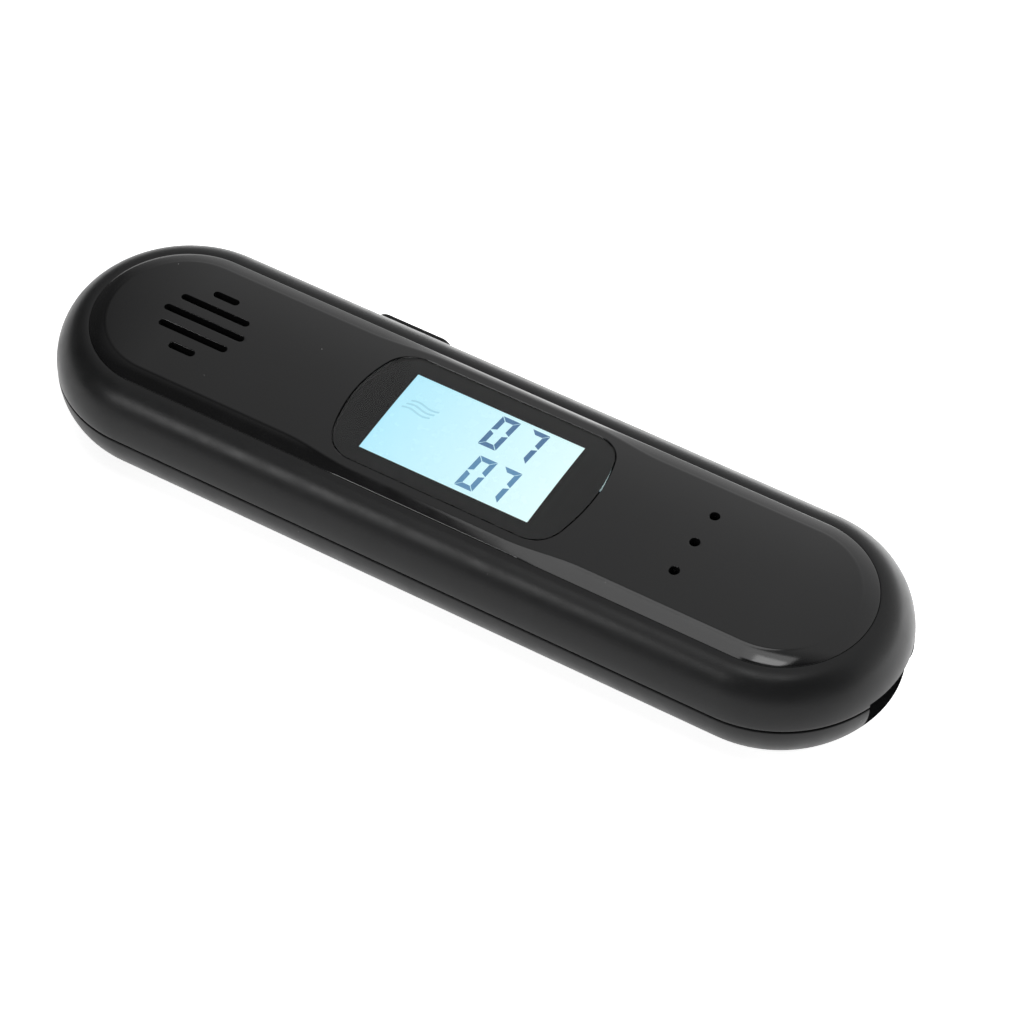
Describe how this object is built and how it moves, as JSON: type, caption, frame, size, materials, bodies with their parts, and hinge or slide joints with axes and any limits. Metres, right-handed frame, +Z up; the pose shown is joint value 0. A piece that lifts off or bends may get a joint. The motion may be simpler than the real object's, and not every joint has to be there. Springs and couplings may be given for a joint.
{
  "type": "breath alcohol tester",
  "caption": "Hand-held tester in a capsule-shaped black case with a flush backlit display, air intake slots, indicator holes, a side push button and a charging port.",
  "frame": {"origin": "centre of the flat underside that the case rests on", "axes": "+X along the case towards the charging port end, +Y across it towards the side button, +Z up through the display"},
  "size_m": [0.1349, 0.0382, 0.018],
  "materials": {
    "matte_black": "fine spark-eroded satin",
    "gloss_black": "polished",
    "clear_window": "polished clear acrylic",
    "print_black": "smooth ink",
    "foam_black": "matte foam",
    "lcd_cyan": "even backlit cyan",
    "guide_white": "frosted",
    "frame_black": "satin",
    "connector_rubber": "matte",
    "board_green": "solder mask",
    "chip_black": "matte",
    "buzzer_black": "satin",
    "ferrite_grey": "matte ferrite",
    "bright_steel": "bright",
    "screen_steel": "woven",
    "screw_steel": "black-nickel plated",
    "led_green": "clear resin",
    "led_amber": "clear resin",
    "led_red": "clear resin",
    "clear_pipe": "polished",
    "mesh_black": "open mesh",
    "sensor_resin": "moulded resin",
    "cell_foil": "laminated foil",
    "socket_white": "satin nylon",
    "wire_red": "smooth sheath",
    "wire_black": "smooth sheath",
    "button_black": "soft satin",
    "plunger_white": "satin"
  },
  "bodies": {
    "case": {"bottom_shell": "matte_black", "top_shell": "matte_black", "top_panel": "gloss_black", "display_lens": "clear_window", "lens_mask": "print_black", "lens_gasket": "foam_black", "lcd_glass": "lcd_cyan", "lcd_backlight": "guide_white", "lcd_frame": "frame_black", "lcd_connector_front": "connector_rubber", "lcd_connector_rear": "connector_rubber", "main_board": "board_green", "controller_chip": "chip_black", "crystal_can": "bright_steel", "buzzer": "buzzer_black", "charger_chip": "chip_black", "power_inductor": "ferrite_grey", "light_shroud": "frame_black", "indicator_led_green": "led_green", "indicator_led_amber": "led_amber", "indicator_led_red": "led_red", "light_pipe_green": "clear_pipe", "light_pipe_amber": "clear_pipe", "light_pipe_red": "clear_pipe", "dust_mesh": "mesh_black", "sensor_gasket": "foam_black", "sensor_screen": "screen_steel", "sensor_can": "bright_steel", "sensor_base": "sensor_resin", "battery_pad": "foam_black", "battery_cell": "cell_foil", "battery_board": "board_green", "battery_socket": "socket_white", "battery_plug": "socket_white", "battery_wire_red": "wire_red", "battery_wire_black": "wire_black", "port_shell": "bright_steel", "port_tongue": "chip_black", "switch_body": "chip_black", "case_screw_sensor_left": "screw_steel", "case_screw_sensor_right": "screw_steel", "case_screw_port_left": "screw_steel", "case_screw_port_right": "screw_steel"},
    "button": {"side_button": "button_black"},
    "plunger": {"switch_plunger": "plunger_white"}
  },
  "joints": [
    {"name": "button_press", "type": "slide", "parent": "case", "child": "button", "axis": [0, -1, 0], "range_m": [0, 0.0004], "stiffness_N_per_m": 2500, "springref_m": -0.0002},
    {"name": "plunger_press", "type": "slide", "parent": "case", "child": "plunger", "axis": [0, -1, 0], "range_m": [0, 0.0004]}
  ],
  "couplings": [
    {"joint": "plunger_press", "follows": "button_press", "ratio": 1}
  ]
}
